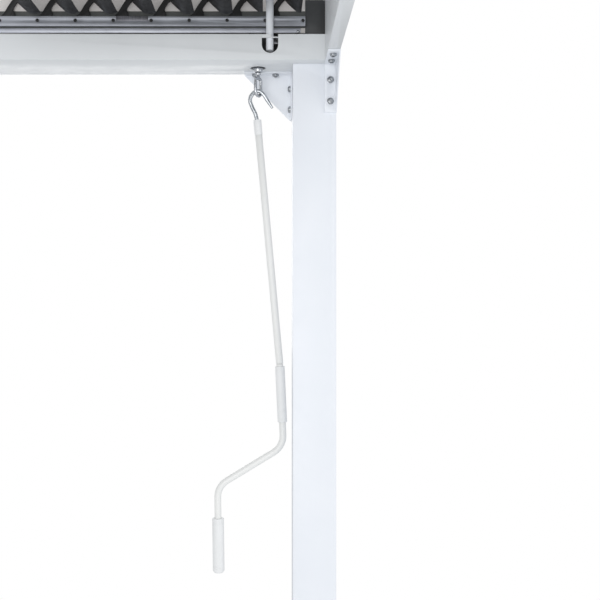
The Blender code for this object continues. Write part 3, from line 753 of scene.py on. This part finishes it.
crankSet = {
    "hook": ((-145.4, 1956), (-151, 1981), (-161, 2003), (-165, 2019), (-158, 2034), (-145, 2041.3),
             (-132, 2034), (-121, 2018), (-107, 1997)),
    "hookRadius": 5.25 * mm,
    "hookTaper": (1, 1, 1, 1, 1, 1, 1, 0.94, 0.62),  # share of the radius at each point
    "tubeTop": (-146.2, 1966.0),
    "tubeLow": (-88.0, 1334.0),
    "tubeRadius": 9.35 * mm,
    "tubeBore": 7.5 * mm,
    "plugLength": 40.0,
    "plugRadius": 10.35 * mm,
    "plugBore": 8.3 * mm,
    "plugFloor": 25 * mm,  # the bore's floor, above the plug's lower end
    "plugEase": 0.9 * mm,
    "neckDepth": 0.8 * mm,
    "bendHigh": (-78.2, 1119.4),
    "bendLow": (-249.2, 1015.3),
    "bendRadius": 50.0,
    "gripTop": (-248.1, 933.0),
    "gripLow": (-246.3, 796.0),
    "bentRadius": 8.75 * mm,
}


def inPlane(point):
    # crank points are (x, z) in millimetres, in the upright plane through the eye
    return Vector((point[0] * mm, jointPlace("crank_turn").y, point[1] * mm))


def rounded(corners, radius, steps=18):
    # corners with an arc in place of each inner one
    path = [corners[0]]
    for before, corner, after in zip(corners, corners[1:], corners[2:]):
        back, ahead = (before - corner).normalized(), (after - corner).normalized()
        half = back.angle(ahead) / 2
        middle = corner + (back + ahead).normalized() * radius / math.sin(half)
        start = corner + back * radius / math.tan(half) - middle
        axis = ahead.cross(back)
        for k in range(steps + 1):
            turn = Matrix.Rotation((math.pi - 2 * half) * k / steps, 3, axis)
            path.append(middle + turn @ start)
    path.append(corners[-1])
    return path


def crank():
    s = crankSet
    hookPath = [inPlane(p) for p in s["hook"]]
    settle(wire("hook_fine", hookPath, s["hookRadius"], hookZinc, s["hookTaper"], around=8, along=16), "hook")

    top, low = inPlane(s["tubeTop"]), inPlane(s["tubeLow"])
    down = (low - top).normalized()
    plugBase = top + down * s["plugLength"] * mm
    plugLength = s["plugLength"] * mm
    outer, bore, floor = s["plugRadius"], s["plugBore"], s["plugFloor"]
    neck = outer - s["neckDepth"]
    easedRim = roundedEnds(outer, bore, plugLength, s["plugEase"])[:6]
    plugShape = [(0, floor), (bore, floor), (bore, plugLength), *reversed(easedRim),
                 (outer, 2 * mm), (neck, 1.0 * mm), (neck, 0), (0, 0)]
    plug = lathe("tube_plug_fine", plugShape, standing(plugBase, -down), gripPlastic, 64)
    settle(plug, "tube_plug")

    start = plugBase + down * 0.3 * mm
    tubeShape = roundedEnds(s["tubeRadius"], s["tubeBore"], (low - start).length, 0.3 * mm, 2)
    tube = lathe("crank_tube_fine", tubeShape, standing(low, -down), crankCoat, 64)
    settle(tube, "crank_tube")

    first = low + down * 1.0 * mm
    gripLow, gripTop = inPlane(s["gripLow"]), inPlane(s["gripTop"])
    last = gripLow + (gripTop - gripLow).normalized() * 0.3 * mm
    path = rounded([first, inPlane(s["bendHigh"]), inPlane(s["bendLow"]), last], s["bendRadius"] * mm)
    settle(wire("bent_rod_fine", path, s["bentRadius"], crankCoat, around=12, smooth=False), "bent_rod")
    print("crank tube and hook made")


gripSet = {
    "sleeveRadius": 12.25 * mm,
    "sleeveLength": 145.0 * mm,
    "sleeveDrop": 6.1 * mm,  # from the sleeve's joint down to its upper end
    "gripRadius": 15.1 * mm,
    "inner": 9.4 * mm,
    "rim": 1.4 * mm,
    # how far in the first groove is, and how many there are
    "sleeveRibs": (6 * mm, 2),
    "gripRibs": (7 * mm, 3),
    "ringDepth": 0.45 * mm,
    "ringPitch": 3.4 * mm,
    "capDrop": 4 * mm,
    "cap": ((0, 3.7 * mm), (11.8 * mm, 3.7 * mm), (11.95 * mm, 3.4 * mm), (11.95 * mm, 1.0 * mm),
            (11.0 * mm, 0.2 * mm), (8.0 * mm, 0), (7.4 * mm, 0.8 * mm), (0, 0.8 * mm)),
}


def ribbed(radius, length, s, ribsAt, ribs):
    # a plain sleeve with eased rims and a few shallow grooves near each end
    rim = s["rim"]
    points = [(s["inner"], length)]
    for k in range(5):
        a = math.pi / 2 * (1 - k / 4)
        points.append((radius - rim + rim * math.cos(a), length - rim + rim * math.sin(a)))

    def groove(z):
        return [(radius, z + 0.9 * mm), (radius - s["ringDepth"], z + 0.4 * mm),
                (radius - s["ringDepth"], z - 0.4 * mm), (radius, z - 0.9 * mm)]

    for k in range(ribs):
        points += groove(length - ribsAt - k * s["ringPitch"])
    for k in range(ribs):
        points += groove(ribsAt + (ribs - 1 - k) * s["ringPitch"])
    for k in range(5):
        a = math.pi / 2 * k / 4
        points.append((radius - rim + rim * math.cos(a), rim - rim * math.sin(a)))
    points.append((s["inner"], 0))
    return points


def sleeves():
    s = gripSet
    way = -jointAxis("upper_sleeve_spin").normalized()
    if way.z < 0:
        way.negate()
    length = s["sleeveLength"] - 0.2 * mm
    low = jointPlace("upper_sleeve_spin") - way * (length + s["sleeveDrop"])
    shape = ribbed(s["sleeveRadius"], length, s, *s["sleeveRibs"])
    settle(lathe("upper_sleeve_fine", shape, standing(low, way), gripPlastic, 72), "upper_sleeve")

    low = inPlane(crankSet["gripLow"])
    top = inPlane(crankSet["gripTop"])
    shape = ribbed(s["gripRadius"], (top - low).length, s, *s["gripRibs"])
    settle(lathe("lower_grip_fine", shape, standing(low, top - low), gripPlastic, 72), "lower_grip")

    down = (low - top).normalized()
    cap = lathe("grip_cap_fine", s["cap"], standing(low + down * s["capDrop"], -down), gripPlastic, 64)
    settle(cap, "grip_cap")
    print("sleeves made")


bpy.context.scene.view_settings.view_transform = "Standard"
setCamera(viewSet)
setLight(lightSet)
roofFrame()
bolts()
blades()
drive()
eye()
crank()
sleeves()
